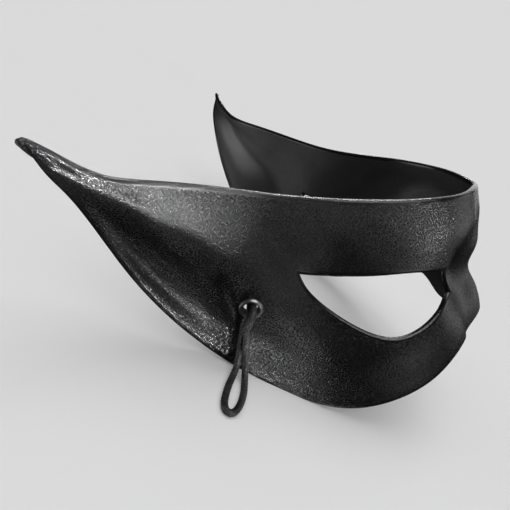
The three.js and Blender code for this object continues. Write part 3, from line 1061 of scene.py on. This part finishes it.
@dataclass
class Eyelet:
    """A set eyelet: a barrel through the leather with a domed flange outside and a rolled one inside."""

    fit: EyeletFit
    side: Side
    bore: float = 3.15
    barrel: float = 3.65
    flange: float = 5.1
    seat: float = 0.95
    crown: float = 1.85
    roll: float = 1.45
    segments: int = 96

    def profile(self) -> tuple[Array, Array, Array]:
        """The cut through the ring: radii, heights out of the leather, and how near each is to the crown.

        The outer flange is a flattened arch from its rim over the crown into the bore, the inner one a
        lower arch back out, and the barrel joins them outside the bore.
        """
        t = np.linspace(0.0, np.pi, 25)
        middle, reach = (self.bore + self.flange) / 2.0, (self.flange - self.bore) / 2.0
        arch = np.sin(t) ** 0.75
        outer_r = middle + reach * np.cos(t)
        outer_h = self.seat + (self.crown + 0.75 - self.seat) * arch
        inner_r = middle - 0.05 + (reach - 0.05) * np.cos(t[::-1])
        inner_h = -self.seat - self.roll * 0.75 * arch
        radius = np.concatenate([outer_r, inner_r, [self.barrel, self.barrel]])
        height = np.concatenate([outer_h, inner_h, [-self.seat, self.seat]])
        crown = np.concatenate([arch**2, 0.6 * arch**2, [0.0, 0.0]])
        return radius, height, crown

    def build(self, nickel: Material) -> Object:
        """Turns the profile once about the eyelet's axis."""
        radius, height, crown = self.profile()
        centre, across, out, up = self.fit.spot(self.side)
        around = np.linspace(0.0, 2 * np.pi, self.segments, endpoint=False)[:, None, None]
        ring = across * np.cos(around) + up * np.sin(around)
        points = (centre + radius[:, None] * ring + height[:, None] * out).reshape(-1, 3)
        quads = ring_faces(self.segments, radius.size, closed_rings=True)
        crowns = {"crown": np.tile(crown, self.segments)}
        piece = make_piece(f"nickel_eyelet_{self.side.word}", points, quads, nickel, crowns)
        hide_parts(f"eyelet_{self.side.word}")
        return piece


# The right cord's centre line as it lies, from its end inside the panel and back to it, as in the CAD part.
# Its places were picked in the photograph and about the eyelet, and a program worked out where they
# lie in space
CORD_ROUTE = (
    (-21.3, -65.6, 25.3), (-19.8, -69.7, 29.3), (-18.6, -73.6, 30.0), (-18.3, -75.8, 30.0),
    (-17.8, -79.0, 29.9), (-17.5, -80.7, 29.9), (-17.1, -82.9, 29.5), (-16.6, -85.0, 27.7),
    (-16.3, -85.9, 24.9), (-15.9, -85.4, 21.7), (-14.1, -84.7, 19.3), (-11.2, -84.2, 13.5),
    (-8.1, -82.9, 7.5), (-5.9, -85.0, 3.6), (-4.5, -88.7, 1.8), (-3.9, -93.7, 1.5),
    (-4.3, -100.7, 1.5), (-5.7, -105.7, 1.5), (-7.5, -107.8, 1.5), (-9.5, -107.4, 1.5),
    (-10.7, -104.3, 1.5), (-11.0, -99.6, 1.5), (-10.8, -93.4, 1.5), (-10.3, -87.9, 1.9),
    (-10.4, -83.0, 4.3), (-12.4, -82.7, 9.8), (-14.7, -82.3, 15.5), (-16.4, -81.8, 19.6),
    (-17.2, -82.0, 21.5), (-17.2, -82.7, 24.2), (-17.3, -82.1, 26.1), (-17.6, -80.5, 26.9),
    (-17.9, -78.5, 27.0), (-18.3, -75.7, 27.1), (-18.6, -73.5, 27.2), (-18.6, -69.7, 28.1),
    (-17.6, -65.2, 24.2),
)


@dataclass(frozen=True)
class Braid:
    """A round braid along a path: as many strands wound one way as the other, over and under in turn."""

    radius: float = 1.5
    strands: int = 6
    diamond: float = 1.7
    depth: float = 0.32
    sides: int = 48
    step: float = 0.17
    reference: Place = (0.42, 0.55, 0.72)

    def surface(self, around: Array, along: Array) -> tuple[Array, Array]:
        """The strand on top at each point, by how far round and how far along the cord it is.

        Two counters tell which strand of each hand passes there. The one on top is picked in turn, like the
        squares of a board, and its height is a half circle across it times a slow arch along it.

        Args:
            around: Angles, in turns.
            along: Distances along the cord, in millimetres.

        Returns:
            The distance from the centre line, and the crown, which is 1 on top of a strand.
        """
        p = self.strands * around + along / self.diamond
        q = self.strands * around - along / self.diamond
        over = (np.floor(p + 1e-6) + np.floor(q + 1e-6)) % 2 < 1
        across = np.where(over, p, q) % 1.0
        length = np.where(over, q, p) % 1.0
        bow = np.sqrt(np.maximum(0.0, 1.0 - (2.0 * across - 1.0) ** 2))
        crown = bow * (0.5 + 0.5 * np.sin(np.pi * length))
        return self.radius - self.depth * (1.0 - crown), crown

    def frames(self, path: Array) -> tuple[Array, Array]:
        """Two directions across the path at each point, which don't twist.

        The first guess comes from a direction that the path never takes. Its turn from ring to ring is added
        up and taken out.
        """
        along = unit(np.gradient(path, axis=0))
        first = unit(np.cross(along, self.reference))
        second = np.cross(along, first)
        ahead = first[1:] - dots(first[1:], along[:-1])[:, None] * along[:-1]
        turn = np.arctan2(dots(ahead, second[:-1]), dots(ahead, first[:-1]))
        twist = np.concatenate([[0.0], np.cumsum(turn)])[:, None]
        c, s = np.cos(twist), np.sin(twist)
        return first * c - second * s, first * s + second * c

    def carry(self, path: Array, closed: bool = False) -> tuple[Array, Array, Array]:
        """Carries the braid along a path.

        Args:
            path: Points of the centre line, evenly spaced.
            closed: Whether the path ends where it starts.

        Returns:
            The points, the quads and the crown of each point. An open braid ends in rounded tips.
        """
        first, second = self.frames(path)
        place = travelled(path)[:, None]
        around = np.linspace(0.0, 1.0, self.sides, endpoint=False)[None]
        distance, crown = self.surface(around, place)
        to_end = np.minimum(place, place[-1] - place)
        if not closed:
            tip = np.clip(1.0 - to_end / self.radius, 0.0, 1.0)
            distance = distance * np.sqrt(np.maximum(1.0 - tip**2, 0.0004))
        x, y = distance * np.cos(2 * np.pi * around), distance * np.sin(2 * np.pi * around)
        points = path[:, None] + x[..., None] * first[:, None] + y[..., None] * second[:, None]
        points, crown = points.reshape(-1, 3), crown.ravel()
        quads = ring_faces(len(path), self.sides, closed)
        if not closed:
            side = np.arange(self.sides)
            beside = (side + 1) % self.sides
            last = (len(path) - 1) * self.sides
            for tip, a, b in ((len(points), beside, side), (len(points) + 1, last + side, last + beside)):
                middle = np.full(self.sides, tip)
                quads = np.concatenate([quads, np.stack([middle, middle, a, b], 1)])
            points = np.concatenate([points, path[[0, -1]]])
            crown = np.append(crown, [0.0, 0.0])
        return points, quads, crown


def smooth_route(points: Array, step: float) -> Array:
    """A centripetal Catmull-Rom curve through points, cut into even steps.

    Each stretch is a cubic whose end slopes come from the neighbouring points, weighed by the square roots
    of their distances.

    Args:
        points: The points that it passes through.
        step: The length of a step, in millimetres.

    Returns:
        Points of the curve, evenly spaced.
    """
    ends = np.concatenate([[2 * points[0] - points[1]], points, [2 * points[-1] - points[-2]]])
    gap = np.sqrt(np.linalg.norm(np.diff(ends, axis=0), axis=1))[:, None]
    slope = np.diff(ends, axis=0) / gap
    wide = np.diff(ends, axis=0)[:-1] + np.diff(ends, axis=0)[1:]
    tangent = slope[:-1] - wide / (gap[:-1] + gap[1:]) + slope[1:]
    t = np.linspace(0.0, 1.0, 41)[:-1, None, None]
    p0, p1, m0, m1 = points[:-1], points[1:], tangent[:-1] * gap[1:-1], tangent[1:] * gap[1:-1]
    curve = (2 * t**3 - 3 * t**2 + 1) * p0 + (t**3 - 2 * t**2 + t) * m0
    curve = curve + (3 * t**2 - 2 * t**3) * p1 + (t**3 - t**2) * m1
    fine = np.concatenate([curve.transpose(1, 0, 2).reshape(-1, 3), points[-1:]])
    return evenly(fine, int(round(travelled(fine)[-1] / step)) + 1)


@dataclass
class CordLoop:
    """A loop of braided cord through one eyelet, its two ends tied inside the panel."""

    fit: EyeletFit
    side: Side
    braid: Braid = Braid()
    knot_braid: Braid = Braid(radius=1.35, sides=40)
    knot_rings: int = 200
    knot_centre: Place = (-19.2, -69.7, 28.7)
    knot_radii: Place = (3.9, 4.1, 4.6)

    def build(self, waxed: Material) -> list[Object]:
        mirror = np.array([1.0, -self.side.value, 1.0])
        path = smooth_route(np.array(CORD_ROUTE) * mirror, self.braid.step)
        points, quads, crown = self.braid.carry(path)
        name, crowns = f"braided_loop_{self.side.word}", {"crown": crown}
        loop = make_piece(name, on_ground(points), quads, waxed, crowns)
        knot = self.knot(waxed, mirror)
        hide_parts(f"cord_{self.side.word}")
        centre, _, out, _ = self.fit.spot(self.side)
        return [loop, knot]

    def knot(self, waxed: Material, mirror: Array) -> Object:
        """Ties the knot: a closed trefoil of the same braid, drawn up tight.

        The trefoil winds twice round its axis while it swings three times in and out and up and down.
        """
        radii = np.array(self.knot_radii) - self.braid.radius
        t = np.linspace(0.0, 2 * np.pi, 481)
        swing = (2.0 + np.cos(3 * t)) / 3.0
        trefoil = np.stack([swing * np.cos(2 * t), 0.8 * np.sin(3 * t), swing * np.sin(2 * t)], 1)
        fine = (np.array(self.knot_centre) + trefoil * radii) * mirror
        points, quads, crown = self.knot_braid.carry(evenly(fine, self.knot_rings))
        name, crowns = f"braided_knot_{self.side.word}", {"crown": crown}
        return make_piece(name, points, quads, waxed, crowns)


def main() -> None:
    """Builds the camera, the cords, the leather, the eyelets and the studio, and reports each piece."""
    logging.basicConfig(level=logging.INFO, format="%(message)s")
    bpy.context.scene.view_settings.view_transform = "Standard"
    PhotoCamera().build()
    effects = SharedEffects()
    sheet = MouldedSheet()
    fit = EyeletFit(sheet)
    waxed = WaxedCord().material(effects)
    nickel = DarkNickel().material(effects)
    pieces: list[Object] = []
    for side in Side:
        pieces += CordLoop(fit, side).build(waxed)
    pieces.append(MaskShell(sheet, fit).build(PebbledLeather().material(effects)))
    for side in Side:
        pieces.append(Eyelet(fit, side).build(nickel))
    PaleStudio().build(pieces)
    for piece in pieces:
        mesh = piece.data
        mesh.calc_loop_triangles()
        LOG.info("%s: %d points, %d triangles", piece.name, len(mesh.vertices), len(mesh.loop_triangles))


if __name__ == "__main__":
    main()
